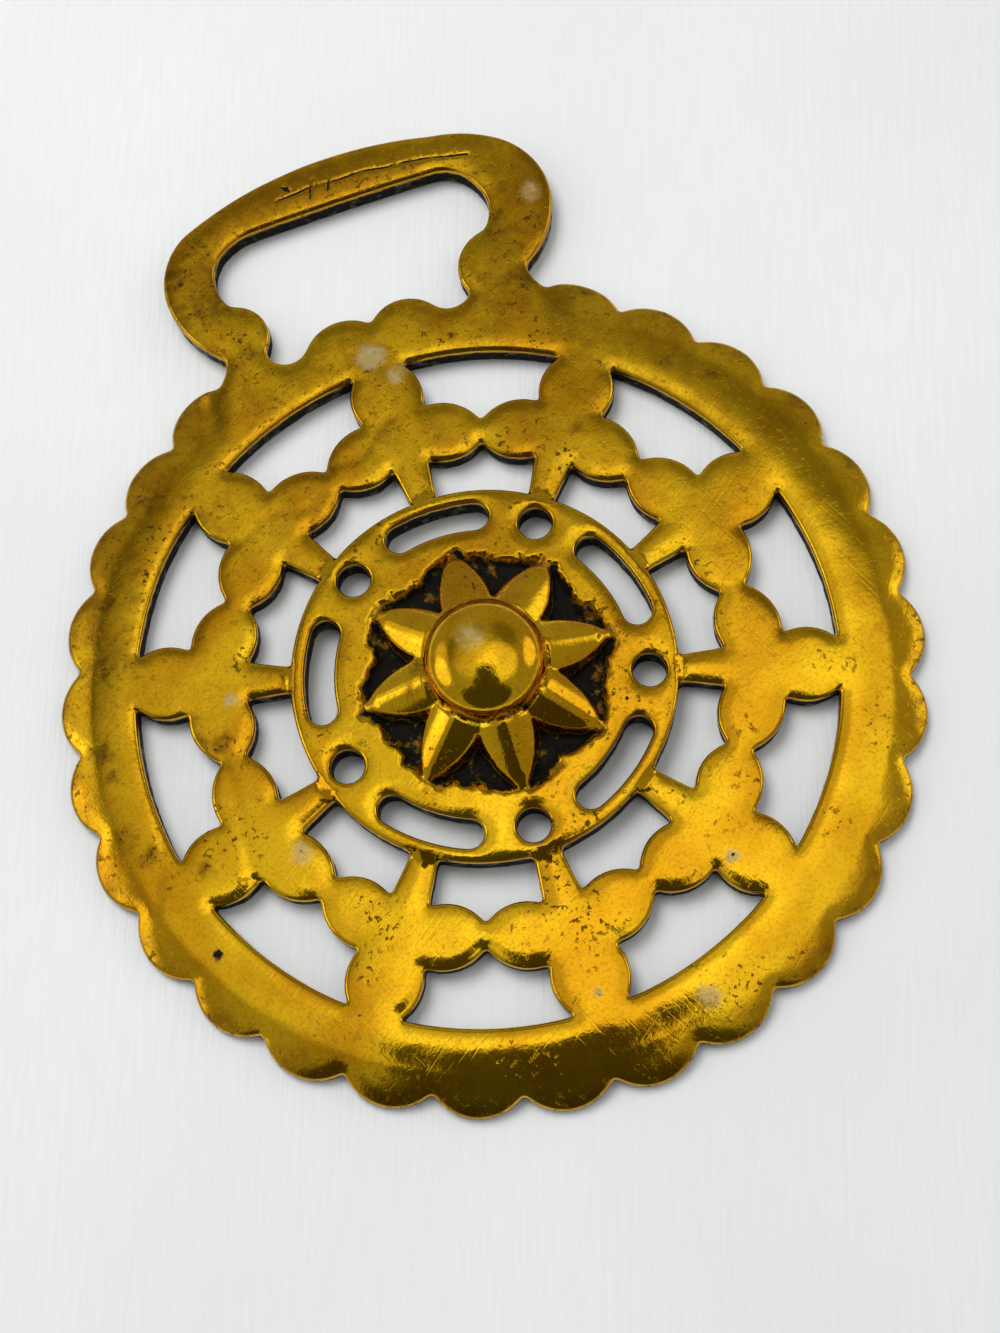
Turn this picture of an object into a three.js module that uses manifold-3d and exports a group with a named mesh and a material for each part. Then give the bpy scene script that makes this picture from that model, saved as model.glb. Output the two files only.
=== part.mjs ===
// Horse brass: a pierced brass plate for a harness strap, cast in one piece.
// Millimetres. The flat back lies on z = 0, the face looks up +Z, the strap loop points along +Y
// and the origin is the middle of the ring of openings, on the back.
import * as THREE from 'three';
import { mergeVertices } from 'three/addons/utils/BufferGeometryUtils.js';
import Module from 'manifold-3d';

// Plate
const PLATE_THICK = 2.4;
const ROUND_DEPTH = 0.8;      // rounding along the plate's edges: how far down
const ROUND_WIDTH = 0.7;      // and how far in from the edge
const ROUND_STEPS = 2;

// Scalloped edge, struck from a centre slightly off the star's
const SCALLOPS = 30;
const EDGE_X = 0.35;
const EDGE_Y = 0.1;
const CUSP_R = 36.2;
const CREST_R = 37.95;
const HIDDEN_SCALLOPS = 4;    // the scallops lost behind the loop's feet
const SLOPE_R = 33.0;         // the rim falls away from here out
const SLOPE_DROP = 0.55;      // by this much at the crests

// Rings of openings; their pattern is turned a little against the loop
const OPENINGS = 10;
const OPENING_TURN = 2;       // degrees

const OUTER_ARC_R = 30.6;     // outer ring of openings: long outer side
const OUTER_ARC_HALF = 13.75; // degrees from the opening's middle to its corner
const WAIST_R = 26.0;         // corner between a leg and the ring of discs
const WAIST_HALF = 11.65;
const DISC_CUSP_R = 23.9;     // where two discs of the ring meet
const LEG_RISE = 0.75;        // how far the sides of the legs swell
const DISC_RISE = 0.95;       // how far the discs swell into the outer openings

const SPOKE_IN_HALF = 14.05;  // inner ring of openings: corner at the centre plate
const SPOKE_OUT_R = 20.85;
const SPOKE_OUT_HALF = 13.3;
const INNER_CUSP_R = 21.85;
const INNER_RISE = 0.86;

// Pierced centre plate, proud of the frame
const CENTRE_R = 16.85;
const CENTRE_TOP = 3.1;
const CENTRE_ROUND = 0.35;
const CENTRE_OVERLAP = 0.4;   // how far the spokes run into the centre plate
const PIERCINGS = 5;
const PIERCING_TURN = 0.7;    // degrees
const HOLE_R = 1.5;
const HOLE_PITCH_R = 14.3;
const SLOT_R = 14.35;
const SLOT_WIDTH = 2.6;
const SLOT_HALF = 13.9;       // degrees to the centre of a slot's round end

// Sunk bed round the star
const BED_FLOOR = 2.3;
const BED_FLOOR_R = 9.7;
const BED_RIM_R = 11.4;

// Star of petals and the boss on it, set slightly off the middle
const STAR = [0.35, -0.1, 0];
const PETALS = 8;
const TIP_R = 11.3;
const TIP_Z = 3.3;
const NOTCH_R = 6.2;
const PETAL_SWELL = 0.62;     // how far a petal's sides bow out
const RIDGE_SLOPE = 24;       // degrees, rising to the boss
const PETAL_HALF = 2.7;       // half width of the petal's ridged back
const PETAL_FALL = 1.05;      // its fall from ridge to side
const PETAL_ROUND = 0.16;
const BOSS_R = 5.0;
const BOSS_TOP = 9.3;
const BOSS_CURVE = 5.5;       // radius of the boss's round top
const BOSS_SIDES = 32;
const BOSS_RINGS = 6;
const ROOT_Z = 1.0;           // petals and boss start inside the centre plate

const ARC_STEPS = 3;          // three.js doubles this: six chords to an arc
const CLEAR = 5;              // how far cutters run past the metal

const wasm = await Module();
wasm.setup();

const radians = THREE.MathUtils.degToRad;

function polar(r, degrees) {
  return new THREE.Vector2(r * Math.cos(radians(degrees)), r * Math.sin(radians(degrees)));
}

function at(x, y) {
  return new THREE.Vector2(x, y);
}

// An arc on from the path's end, its middle standing off the chord to the left by `rise`.
function bow(path, end, rise) {
  const start = path.currentPoint.clone();
  const chord = end.clone().sub(start);
  const half = chord.length() / 2;
  const radius = (half * half + rise * rise) / (2 * rise);
  const left = at(-chord.y, chord.x).normalize();
  const centre = start.clone().add(end).multiplyScalar(0.5).addScaledVector(left, rise - radius);
  const from = start.clone().sub(centre).angle();
  const to = end.clone().sub(centre).angle();
  path.absarc(centre.x, centre.y, Math.abs(radius), from, to, rise > 0);
  path.currentPoint.copy(end);
}

// Arcs one after another: [x, y, rise] for each end.
function bows(path, ends) {
  for (const [x, y, rise] of ends) {
    bow(path, at(x, y), rise);
  }
}

// The rise of an arc that swings round the origin from `a` to `b` half angles apart.
function swing(r, half) {
  return r * (1 - Math.cos(radians(half)));
}

// Right foot of the loop, round its back to the left foot, then the scallops all the way round.
function plateOutline() {
  const outline = new THREE.Shape();
  outline.moveTo(16.05, 33.6);
  bows(outline, [
    [14.9, 36.5, 0.35],
    [19.2, 42.6, -0.75],
    [16.6, 49.9, -1.1],
    [10.3, 52.35, -0.45],
    [-4.5, 52.9, -0.75],
    [-14.8, 49.7, -0.4],
    [-17.9, 42.9, -1.1],
    [-14.1, 36.1, -0.75],
    [-15.5, 33.5, 0.3],
  ]);
  const pitch = 360 / SCALLOPS;
  const edge = at(EDGE_X, EDGE_Y);
  const rise = CREST_R - CUSP_R * Math.cos(radians(pitch / 2));
  for (let i = HIDDEN_SCALLOPS / 2 + 1; i < SCALLOPS - HIDDEN_SCALLOPS / 2; i += 1) {
    bow(outline, polar(CUSP_R, 90 + i * pitch).add(edge), -rise);
  }
  bow(outline, at(16.05, 33.6), -rise * 0.9);
  return outline;
}

// Strap hole: the legs' bulges, the two scallops between them and the bar above.
function strapHole() {
  const hole = new THREE.Path();
  hole.moveTo(-10.4, 35.7);
  bows(hole, [
    [-6.6, 34.9, -1.4],
    [-0.4, 35.4, 1.4],
    [5.9, 35.1, 1.65],
    [9.2, 35.4, -0.75],
    [12.2, 41.2, 1.75],
    [12.7, 46.3, -0.9],
    [9.6, 48.6, -0.55],
    [-8.3, 48.05, -0.15],
    [-12.2, 46.4, -0.4],
    [-12.3, 41.2, -0.9],
    [-10.4, 35.7, 1.75],
  ]);
  return hole;
}

// Opening of the outer ring: long outer arc, two leg sides and two discs.
function outerOpening(middle) {
  const hole = new THREE.Path();
  const first = polar(OUTER_ARC_R, middle + OUTER_ARC_HALF);
  hole.moveTo(first.x, first.y);
  bow(hole, polar(OUTER_ARC_R, middle - OUTER_ARC_HALF), swing(OUTER_ARC_R, OUTER_ARC_HALF));
  bow(hole, polar(WAIST_R, middle - WAIST_HALF), -LEG_RISE);
  bow(hole, polar(DISC_CUSP_R, middle), -DISC_RISE);
  bow(hole, polar(WAIST_R, middle + WAIST_HALF), -DISC_RISE);
  bow(hole, first, -LEG_RISE);
  return hole;
}

// Opening of the inner ring: two discs outside, straight spokes, and an inner side that runs
// under the centre plate.
function innerOpening(middle) {
  const hole = new THREE.Path();
  const inner = CENTRE_R - CENTRE_OVERLAP;
  const first = polar(inner, middle - SPOKE_IN_HALF);
  hole.moveTo(first.x, first.y);
  bow(hole, polar(inner, middle + SPOKE_IN_HALF), -swing(inner, SPOKE_IN_HALF));
  const left = polar(SPOKE_OUT_R, middle + SPOKE_OUT_HALF);
  hole.lineTo(left.x, left.y);
  bow(hole, polar(INNER_CUSP_R, middle), -INNER_RISE);
  bow(hole, polar(SPOKE_OUT_R, middle - SPOKE_OUT_HALF), -INNER_RISE);
  hole.lineTo(first.x, first.y);
  return hole;
}

function roundHole(centre, radius) {
  const hole = new THREE.Path();
  for (let quarter = 0; quarter < 4; quarter += 1) {
    const start = quarter * Math.PI / 2;
    hole.absarc(centre.x, centre.y, radius, start, start + Math.PI / 2, false);
  }
  return hole;
}

// Slot with round ends, bent round the middle.
function arcSlot(middle) {
  const outer = SLOT_R + SLOT_WIDTH / 2;
  const inner = SLOT_R - SLOT_WIDTH / 2;
  const hole = new THREE.Path();
  const first = polar(outer, middle - SLOT_HALF);
  hole.moveTo(first.x, first.y);
  bow(hole, polar(outer, middle + SLOT_HALF), -swing(outer, SLOT_HALF));
  bow(hole, polar(inner, middle + SLOT_HALF), -SLOT_WIDTH / 2);
  bow(hole, polar(inner, middle - SLOT_HALF), swing(inner, SLOT_HALF));
  bow(hole, first, -SLOT_WIDTH / 2);
  return hole;
}

function solid(geometry) {
  const bare = geometry.clone();
  bare.deleteAttribute('normal');
  bare.deleteAttribute('uv');
  const merged = mergeVertices(bare, 1e-4);
  return new wasm.Manifold(new wasm.Mesh({
    numProp: 3,
    vertProperties: new Float32Array(merged.attributes.position.array),
    triVerts: new Uint32Array(merged.index.array),
  }));
}

// A plate on z = 0 with its upper edges rounded over and its outline full size below them.
function roundedPlate(shape, top, depth, width, steps) {
  const geometry = new THREE.ExtrudeGeometry(shape, {
    depth: top - depth,
    bevelThickness: depth,
    bevelSize: width,
    bevelOffset: -width,
    bevelSegments: steps,
    curveSegments: ARC_STEPS,
  });
  const below = new THREE.BoxGeometry(8 * CREST_R, 8 * CREST_R, CLEAR).translate(0, 0, -CLEAR / 2);
  return solid(geometry).subtract(solid(below));
}

function turned(profile, sides) {
  const geometry = new THREE.LatheGeometry(profile, sides);
  geometry.rotateX(Math.PI / 2);
  return solid(geometry);
}

// Frame: everything pierced between the scalloped edge and the centre plate, with the loop.
function frame() {
  const outline = plateOutline();
  outline.holes.push(strapHole());
  for (let i = 0; i < OPENINGS; i += 1) {
    const middle = OPENING_TURN + i * 360 / OPENINGS;
    outline.holes.push(outerOpening(middle));
    outline.holes.push(innerOpening(middle));
  }
  return roundedPlate(outline, PLATE_THICK, ROUND_DEPTH, ROUND_WIDTH, ROUND_STEPS);
}

// The rim's outer slope, all round but for the loop.
function rimSlope() {
  const far = CREST_R + 0.5;
  const fall = SLOPE_DROP * (far - SLOPE_R) / (CREST_R - SLOPE_R);
  const cone = turned([
    at(SLOPE_R, PLATE_THICK),
    at(far, PLATE_THICK - fall),
    at(far, PLATE_THICK + CLEAR),
    at(SLOPE_R, PLATE_THICK + CLEAR),
    at(SLOPE_R, PLATE_THICK),
  ], 2 * SCALLOPS);
  const loopWidth = 2 * 15.6;
  const loopSide = new THREE.BoxGeometry(loopWidth, far, 4 * CLEAR).translate(0, far / 2 + 8, 0);
  return cone.subtract(solid(loopSide));
}

function centrePlate() {
  const disc = new THREE.Shape();
  for (let i = 0; i < 2 * PIERCINGS; i += 1) {
    const start = i * Math.PI / PIERCINGS;
    disc.absarc(0, 0, CENTRE_R, start, start + Math.PI / PIERCINGS, false);
  }
  for (let i = 0; i < PIERCINGS; i += 1) {
    const middle = 90 + PIERCING_TURN + i * 360 / PIERCINGS;
    disc.holes.push(arcSlot(middle));
    disc.holes.push(roundHole(polar(HOLE_PITCH_R, middle + 180 / PIERCINGS), HOLE_R));
  }
  return roundedPlate(disc, CENTRE_TOP, CENTRE_ROUND, CENTRE_ROUND, 1);
}

function bed() {
  return turned([
    at(0, BED_FLOOR),
    at(BED_FLOOR_R, BED_FLOOR),
    at(BED_RIM_R, CENTRE_TOP),
    at(BED_RIM_R, CENTRE_TOP + CLEAR),
    at(0, CENTRE_TOP + CLEAR),
    at(0, BED_FLOOR),
  ], 48);
}

// One petal along +X: a leaf-shaped post under a ridged back that climbs to the boss.
function petal() {
  const notch = polar(NOTCH_R, 180 / PETALS);
  const root = BOSS_R / 2;
  const leaf = new THREE.Shape();
  leaf.moveTo(root, -notch.y);
  leaf.lineTo(notch.x, -notch.y);
  bow(leaf, at(TIP_R, 0), -PETAL_SWELL);
  bow(leaf, at(notch.x, notch.y), -PETAL_SWELL);
  leaf.lineTo(root, notch.y);
  leaf.closePath();
  const post = new THREE.ExtrudeGeometry(leaf, {
    depth: BOSS_TOP - ROOT_Z,
    bevelEnabled: false,
    curveSegments: ARC_STEPS,
  });
  post.translate(0, 0, ROOT_Z);

  const back = new THREE.Shape();
  back.moveTo(PETAL_HALF, -PETAL_FALL);
  bow(back, at(0, 0), -PETAL_ROUND);
  bow(back, at(-PETAL_HALF, -PETAL_FALL), -PETAL_ROUND);
  back.lineTo(-PETAL_HALF, -BOSS_TOP);
  back.lineTo(PETAL_HALF, -BOSS_TOP);
  back.closePath();
  const roof = new THREE.ExtrudeGeometry(back, {
    depth: 2 * TIP_R,
    bevelEnabled: false,
    curveSegments: 1,
  });
  roof.translate(0, 0, -TIP_R);
  roof.rotateX(Math.PI / 2);
  roof.rotateZ(Math.PI / 2);
  roof.rotateY(radians(RIDGE_SLOPE));
  roof.translate(TIP_R, 0, TIP_Z);
  return solid(post).intersect(solid(roof));
}

function boss() {
  const centre = BOSS_TOP - BOSS_CURVE;
  const edge = Math.asin(BOSS_R / BOSS_CURVE);
  const profile = [at(0, ROOT_Z), at(BOSS_R, ROOT_Z)];
  for (let i = 0; i < BOSS_RINGS; i += 1) {
    const angle = edge * (1 - i / BOSS_RINGS);
    profile.push(at(BOSS_CURVE * Math.sin(angle), centre + BOSS_CURVE * Math.cos(angle)));
  }
  profile.push(at(0, BOSS_TOP));
  profile.push(at(0, ROOT_Z));
  return turned(profile, BOSS_SIDES);
}

function star() {
  const onePetal = petal();
  let body = boss();
  for (let i = 0; i < PETALS; i += 1) {
    body = body.add(onePetal.rotate([0, 0, i * 360 / PETALS]));
  }
  return body;
}

function horseBrass() {
  const middle = new THREE.CylinderGeometry(1, 1, 4 * CLEAR, 60);
  const cleared = CENTRE_R - 2 * CENTRE_OVERLAP;
  middle.rotateX(Math.PI / 2).scale(cleared, cleared, 1);
  let body = frame().subtract(rimSlope()).subtract(solid(middle));
  body = body.add(centrePlate()).subtract(bed().translate(STAR));
  return body.add(star().translate(STAR));
}

function meshOf(body, name, material) {
  const { vertProperties, triVerts } = body.getMesh();
  const geometry = new THREE.BufferGeometry();
  geometry.setAttribute('position', new THREE.BufferAttribute(vertProperties, 3));
  geometry.setIndex(new THREE.BufferAttribute(triVerts, 1));
  geometry.computeVertexNormals();
  const mesh = new THREE.Mesh(geometry, material);
  mesh.name = name;
  return mesh;
}

const castBrass = new THREE.MeshStandardMaterial({
  name: 'cast_brass',
  color: 0xc79a2a,
  roughness: 0.3,
  metalness: 1,
});

const group = new THREE.Group();
group.add(meshOf(horseBrass(), 'horse_brass', castBrass));

export default group;
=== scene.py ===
"""Horse brass: the dressed model of a cast, pierced and polished harness brass lying on a pale floor."""

import math

import bpy
import numpy as np
from mathutils import Matrix, Vector, kdtree, noise
from mathutils.geometry import delaunay_2d_cdt


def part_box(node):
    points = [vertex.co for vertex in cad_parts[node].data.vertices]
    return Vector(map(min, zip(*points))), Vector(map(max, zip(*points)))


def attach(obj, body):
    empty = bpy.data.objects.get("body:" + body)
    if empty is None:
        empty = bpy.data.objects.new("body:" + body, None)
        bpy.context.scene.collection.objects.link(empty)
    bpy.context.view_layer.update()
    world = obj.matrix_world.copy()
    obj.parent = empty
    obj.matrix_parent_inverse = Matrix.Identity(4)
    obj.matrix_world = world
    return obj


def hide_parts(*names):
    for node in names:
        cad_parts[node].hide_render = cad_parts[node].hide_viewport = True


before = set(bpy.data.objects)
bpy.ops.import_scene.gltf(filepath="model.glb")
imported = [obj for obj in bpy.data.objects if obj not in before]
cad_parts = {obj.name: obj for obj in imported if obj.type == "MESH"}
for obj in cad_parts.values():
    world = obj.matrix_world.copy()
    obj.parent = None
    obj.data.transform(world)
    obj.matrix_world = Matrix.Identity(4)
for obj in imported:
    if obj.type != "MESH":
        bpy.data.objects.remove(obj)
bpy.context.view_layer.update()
NODE = "horse_brass"
NODE_LOW, NODE_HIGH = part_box(NODE)

bl_info = {
    "name": "Horse Brass",
    "version": (1, 0, 0),
    "blender": (4, 5, 0),
    "location": "View3D > Sidebar > Horse Brass",
    "description": "Builds a cast horse brass with its worn polish, and the floor and light round it",
    "category": "Object",
}

MM = 0.001

# The casting, in millimetres, as in the part's source. The back lies on z = 0.
PLATE_TOP = 2.4
BOSS_TOP = NODE_HIGH.z / MM

SCALLOPS = 30
EDGE_MIDDLE = 0.35 + 0.1j     # the scalloped edge is struck from here
CUSP_R = 36.2
CREST_R = 37.95
HIDDEN_SCALLOPS = 4           # lost behind the feet of the loop
RIM_FALL_R = 31.2             # the rim starts to lean outwards here
SCALLOP_FOOT_R = 34.6         # and the scallops lean more from here

OPENINGS = 10
OPENING_TURN = 2.0            # degrees, against the loop
OUTER_ARC_R = 30.6
OUTER_ARC_HALF = 13.75        # degrees
WAIST_R = 26.0
WAIST_HALF = 11.65
DISC_CUSP_R = 23.9
LEG_RISE = 0.75
DISC_RISE = 0.95
SPOKE_IN_HALF = 14.05
SPOKE_OUT_R = 20.85
SPOKE_OUT_HALF = 13.3
INNER_CUSP_R = 21.85
INNER_RISE = 0.86

CENTRE_R = 16.85
CENTRE_TOP = 3.1
PIERCINGS = 5
PIERCING_TURN = 0.7           # degrees
HOLE_R = 1.5
HOLE_PITCH_R = 14.3
SLOT_R = 14.35
SLOT_WIDTH = 2.6
SLOT_HALF = 13.9              # degrees

STAR_MIDDLE = 0.35 - 0.1j
PETALS = 8
TIP_R = 11.3
TIP_Z = 3.3
NOTCH_R = 6.2
PETAL_SWELL = 0.55
BED_FLOOR = 2.3
BED_RIM_R = 11.6
BOSS_R = 5.0

# Fine relief and wear that the part's source leaves out, in millimetres
BOSS_FOOT_R = BOSS_R + 0.28   # the boss spreads a little at its foot
SEAM_DEPTH = 0.14             # the groove round the boss
BED_SLOPE = 1.3               # breadth of the slope down into the bed
BED_DRAWN_IN = 0.95           # how far the bed's rim comes in between two petals
BED_RAGGED = 0.55             # how far that rim wanders
PETAL_FULLNESS = 4.5          # 4 keeps the source's arcs, more is fuller
TIP_WORN = 0.12               # how far a worn tip reaches past its point
TIP_BLUNT = 0.58              # half width of a worn tip
TIP_ROUND_RUN = 0.5
TIP_DROP = 0.40               # fall of the ridge at its tip
TIP_DROP_RUN = 1.6
PETAL_SIDE = 2.4              # half width at which a petal's fall is measured
PETAL_ROUNDNESS = 1.5         # 1 is a straight slope down from the ridge, more is rounder
RIDGE_ROUND = 0.12
SCALLOP_TURN = 0.35           # the lean of the scallops sets in over this
CUSHION_RUN = 2.9             # the faces swell over this, in from their edges
FILLET_RISE = 0.35            # the fillet round the centre plate
FILLET_RUN = 0.45
LOOP_FEET = (24, 31)          # degrees off the loop between which the rim's lean sets in
LINE_EDGES = (0.13, 0.05)     # where a hairline starts off its middle, and where it is full

# How finely the surface is laid out, in millimetres
EDGE_STEP = 0.28              # along every edge
PLATE_STEP = 0.42             # over the flats
STAR_STEP = 0.17              # over the star and boss
STAR_REACH = 12.6
BACK_STEP = 1.6               # over the flat back
EDGE_ROWS = (0.06, 0.15, 0.27, 0.42, 0.62, 0.88)
THIN_FROM = 0.5               # rows further in than this take every second point
ROW_SLACK = 0.93              # a row's point is left out where another edge is nearer than this share
BACK_CLEAR = 0.6              # the back's field keeps this far from the edges
PLAN_LOW = (NODE_LOW.x + 1j * NODE_LOW.y) / MM
PLAN_HIGH = (NODE_HIGH.x + 1j * NODE_HIGH.y) / MM


# ---------------------------------------------------------------- plan of the casting

def polar(radius, degrees):
    return radius * np.exp(1j * np.radians(degrees))


def bow(start, end, rise):
    """Points on an arc whose middle stands off the chord to the left by rise; the end is left out."""
    chord = end - start
    half = abs(chord) / 2
    if abs(rise) < 1e-6:
        count = max(1, round(2 * half / EDGE_STEP))
        return start + chord * np.arange(count) / count
    radius = (half * half + rise * rise) / (2 * rise)
    centre = (start + end) / 2 + 1j * chord / abs(chord) * (rise - radius)
    sweep = -4 * math.atan(rise / half)
    count = max(2, round(abs(radius * sweep) / EDGE_STEP))
    return centre + (start - centre) * np.exp(1j * sweep * np.arange(count) / count)


def bows(start, ends):
    """A run of arcs; each end is (point, rise)."""
    runs = []
    for end, rise in ends:
        runs.append(bow(start, end, rise))
        start = end
    return np.concatenate(runs)


def swing(radius, half):
    """Rise of an arc struck from the middle over two half angles."""
    return radius * (1 - math.cos(math.radians(half)))


def eased(outline, passes=3):
    """Files the corners of a closed outline round."""
    for _ in range(passes):
        outline = (np.roll(outline, 1) + 2 * outline + np.roll(outline, -1)) / 4
    return outline


def plate_outline():
    """Right foot of the loop, over the loop, left foot, then the scallops all the way round."""
    right_foot = 16.05 + 33.6j
    ends = [
        (14.9 + 36.5j, 0.35),
        (19.2 + 42.6j, -0.75),
        (16.6 + 49.9j, -1.1),
        (10.3 + 52.35j, -0.45),
        (-4.5 + 52.9j, -0.75),
        (-14.8 + 49.7j, -0.4),
        (-17.9 + 42.9j, -1.1),
        (-14.1 + 36.1j, -0.75),
        (-15.5 + 33.5j, 0.3),
    ]
    pitch = 360 / SCALLOPS
    rise = CREST_R - CUSP_R * math.cos(math.radians(pitch / 2))
    for i in range(HIDDEN_SCALLOPS // 2 + 1, SCALLOPS - HIDDEN_SCALLOPS // 2):
        ends.append((EDGE_MIDDLE + polar(CUSP_R, 90 + i * pitch), -rise))
    ends.append((right_foot, -0.9 * rise))
    return bows(right_foot, ends)


def strap_hole():
    start = -10.4 + 35.7j
    return bows(start, [
        (-6.6 + 34.9j, -1.4),
        (-0.4 + 35.4j, 1.4),
        (5.9 + 35.1j, 1.65),
        (9.2 + 35.4j, -0.75),
        (12.2 + 41.2j, 1.75),
        (12.7 + 46.3j, -0.9),
        (9.6 + 48.6j, -0.55),
        (-8.3 + 48.05j, -0.15),
        (-12.2 + 46.4j, -0.4),
        (-12.3 + 41.2j, -0.9),
        (start, 1.75),
    ])


def outer_opening(middle):
    start = polar(OUTER_ARC_R, middle + OUTER_ARC_HALF)
    return bows(start, [
        (polar(OUTER_ARC_R, middle - OUTER_ARC_HALF), swing(OUTER_ARC_R, OUTER_ARC_HALF)),
        (polar(WAIST_R, middle - WAIST_HALF), -LEG_RISE),
        (polar(DISC_CUSP_R, middle), -DISC_RISE),
        (polar(WAIST_R, middle + WAIST_HALF), -DISC_RISE),
        (start, -LEG_RISE),
    ])


def inner_opening(middle):
    start = polar(CENTRE_R, middle - SPOKE_IN_HALF)
    return bows(start, [
        (polar(CENTRE_R, middle + SPOKE_IN_HALF), -swing(CENTRE_R, SPOKE_IN_HALF)),
        (polar(SPOKE_OUT_R, middle + SPOKE_OUT_HALF), 0),
        (polar(INNER_CUSP_R, middle), -INNER_RISE),
        (polar(SPOKE_OUT_R, middle - SPOKE_OUT_HALF), -INNER_RISE),
        (start, 0),
    ])


def round_hole(middle):
    count = round(2 * math.pi * HOLE_R / EDGE_STEP)
    return polar(HOLE_PITCH_R, middle) + polar(HOLE_R, np.arange(count) * 360 / count)


def arc_slot(middle):
    outer = SLOT_R + SLOT_WIDTH / 2
    inner = SLOT_R - SLOT_WIDTH / 2
    start = polar(outer, middle - SLOT_HALF)
    return bows(start, [
        (polar(outer, middle + SLOT_HALF), -swing(outer, SLOT_HALF)),
        (polar(inner, middle + SLOT_HALF), -SLOT_WIDTH / 2),
        (polar(inner, middle - SLOT_HALF), swing(inner, SLOT_HALF)),
        (start, -SLOT_WIDTH / 2),
    ])


def outlines():
    """Every edge of the casting seen from above, with the metal on the left of each."""
    found = [eased(plate_outline()), eased(strap_hole())]
    for i in range(OPENINGS):
        middle = OPENING_TURN + i * 360 / OPENINGS
        found.append(eased(outer_opening(middle)))
        found.append(eased(inner_opening(middle)))
    for i in range(PIERCINGS):
        middle = 90 + PIERCING_TURN + i * 360 / PIERCINGS
        found.append(arc_slot(middle))
        found.append(round_hole(middle + 180 / PIERCINGS))
    turned = []
    for index, outline in enumerate(found):
        area = np.sum((np.conj(outline) * np.roll(outline, -1)).imag)
        runs_left = area > 0
        turned.append(outline if runs_left == (index == 0) else outline[::-1])
    return turned


def inward(outline):
    """Unit vectors into the metal along an outline that keeps it on the left."""
    along = np.roll(outline, -1) - np.roll(outline, 1)
    return 1j * along / np.abs(along)


class EdgeFinder:
    """Distance from any point to the nearest edge of the casting."""

    def __init__(self, edges):
        self.points = np.concatenate(edges)
        self.before = np.concatenate([np.roll(e, 1) for e in edges])
        self.after = np.concatenate([np.roll(e, -1) for e in edges])
        self.tree = kdtree.KDTree(len(self.points))
        for index, point in enumerate(self.points):
            self.tree.insert((point.real, point.imag, 0), index)
        self.tree.balance()

    def distance(self, points):
        near = np.array([self.tree.find((p.real, p.imag, 0))[1] for p in points])
        here = self.points[near]
        return np.minimum(
            to_segment(points, here, self.before[near]),
            to_segment(points, here, self.after[near]),
        )


def to_segment(points, start, end):
    way = end - start
    share = ((points - start) * np.conj(way)).real / np.abs(way) ** 2
    return np.abs(points - start - way * np.clip(share, 0, 1))


def inside(points, edges):
    """Which points lie on metal, by counting the edges crossed on the way out to the right."""
    start = np.concatenate(edges)
    end = np.concatenate([np.roll(e, -1) for e in edges])
    found = np.zeros(len(points), bool)
    for chunk in range(0, len(points), 2000):
        p = points[chunk:chunk + 2000, None]
        spans = (start.imag > p.imag) != (end.imag > p.imag)
        rise = np.where(end.imag == start.imag, 1, end.imag - start.imag)
        cross = start.real + (p.imag - start.imag) * (end.real - start.real) / rise
        found[chunk:chunk + 2000] = (np.sum(spans & (cross > p.real), axis=1) % 2) == 1
    return found


def honeycomb(reach_low, reach_high, step):
    """Staggered points over a rectangle."""
    rows = np.arange(reach_low.imag, reach_high.imag, step * math.sqrt(3) / 2)
    columns = np.arange(reach_low.real, reach_high.real, step)
    x, y = np.meshgrid(columns, rows)
    x = x + (np.arange(len(rows)) % 2)[:, None] * step / 2
    return (x + 1j * y).ravel()


# ---------------------------------------------------------------- heights

def smooth(low, high, value):
    share = np.clip((value - low) / (high - low), 0, 1)
    return share * share * (3 - 2 * share)


def softer_max(a, b, width):
    """The higher of two heights, with the crease between them filled over width."""
    blend = np.clip(0.5 + (a - b) / (2 * width), 0, 1)
    return b + (a - b) * blend + width * blend * (1 - blend)


def waves(points, wavelength, seed, octaves=2):
    """Even noise in -1..1 over the plan, at a wavelength in millimetres."""
    shift = Vector((17.3 * seed, 5.1 * seed, 3.7 * seed))
    return np.array([
        noise.fractal(Vector((p.real / wavelength, p.imag / wavelength, 0)) + shift, 1.0, 2.0, octaves)
        for p in points
    ])


def rounding(to_edge, width, depth):
    """Fall of a quarter-round edge."""
    share = np.clip(1 - to_edge / width, 0, 1)
    return depth * (1 - np.sqrt(np.maximum(1 - share * share, 0)))


def groove(gap, width):
    """1 in the middle of a groove, falling away over its width."""
    return np.exp(-(gap / width) ** 2)


def petal_place(points):
    """Place along and across the nearest petal."""
    local = points - STAR_MIDDLE
    pitch = 2 * math.pi / PETALS
    angle = np.angle(local)
    angle = angle - pitch * np.round(angle / pitch)
    return np.abs(local) * np.cos(angle), np.abs(local) * np.sin(angle)


def petal_half_width(along):
    """Half width of a petal: an arc from the notch to the tip, blunted at the tip."""
    notch = polar(NOTCH_R, 180 / PETALS)
    chord = TIP_R - notch.real
    share = np.clip((along - notch.real) / chord, 0, 1)
    bulge = PETAL_FULLNESS * PETAL_SWELL * share * (1 - share)
    blunt = TIP_BLUNT * np.sqrt(np.clip((TIP_R + TIP_WORN - along) / TIP_ROUND_RUN, 0, 1))
    straight = notch.imag * (1 - share)
    return np.maximum(straight + bulge, blunt * (along > notch.real + 0.5 * chord))


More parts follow.
